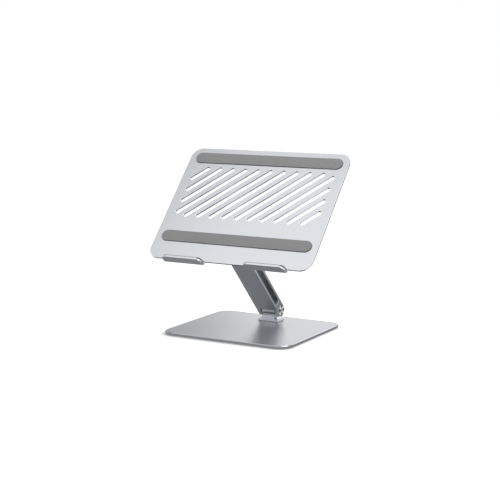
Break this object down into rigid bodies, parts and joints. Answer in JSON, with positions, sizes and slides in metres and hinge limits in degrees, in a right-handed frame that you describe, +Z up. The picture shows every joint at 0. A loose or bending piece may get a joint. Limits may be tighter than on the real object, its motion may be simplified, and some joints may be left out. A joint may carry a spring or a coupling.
{
  "type": "laptop stand",
  "caption": "Folding laptop stand with a flat base, a slanted arm that turns on friction hinges, and a tilting slotted tray with silicone strips and front hooks.",
  "frame": {"origin": "middle of the underside of the base, on the desk", "axes": "+X to the right of someone facing the stand, +Y to the rear, +Z up"},
  "size_m": [0.275, 0.1912, 0.2695],
  "materials": {
    "anodised_aluminium": "satin, bead-blasted and anodised silver",
    "silicone": "matte grey silicone",
    "steel": "plated steel",
    "spring_steel": "dark spring steel",
    "bush_polymer": "black filled polymer",
    "turned_cap": "turned bright with fine concentric rings"
  },
  "bodies": {
    "base": {"base_plate": "anodised_aluminium", "base_pad": "silicone", "base_bracket": "anodised_aluminium", "base_bracket_screws": "steel", "lower_bush_left": "bush_polymer", "lower_bush_right": "bush_polymer"},
    "arm": {"arm_body": "anodised_aluminium", "lower_shaft": "steel", "lower_disc_springs": "spring_steel", "lower_nut": "steel", "lower_washer_left": "bush_polymer", "lower_cap_left": "turned_cap", "lower_washer_right": "bush_polymer", "lower_cap_right": "turned_cap", "upper_shaft": "steel", "upper_disc_springs": "spring_steel", "upper_nut": "steel", "upper_washer_left": "bush_polymer", "upper_cap_left": "turned_cap", "upper_washer_right": "bush_polymer", "upper_cap_right": "turned_cap"},
    "tray": {"tray_plate": "anodised_aluminium", "tray_bracket": "anodised_aluminium", "tray_bracket_screws": "steel", "upper_bush_left": "bush_polymer", "upper_bush_right": "bush_polymer", "front_strip": "silicone", "rear_strip": "silicone", "left_hook_liner": "silicone", "right_hook_liner": "silicone"}
  },
  "joints": [
    {"name": "base_hinge", "type": "hinge", "parent": "base", "child": "arm", "pos_m": [0, 0.0587, 0.023], "axis": [1, 0, 0], "range_deg": [-18, 46]},
    {"name": "tray_hinge", "type": "hinge", "parent": "arm", "child": "tray", "pos_m": [0, -0.04529, 0.13068], "axis": [-1, 0, 0], "range_deg": [-15, 93.55]}
  ]
}
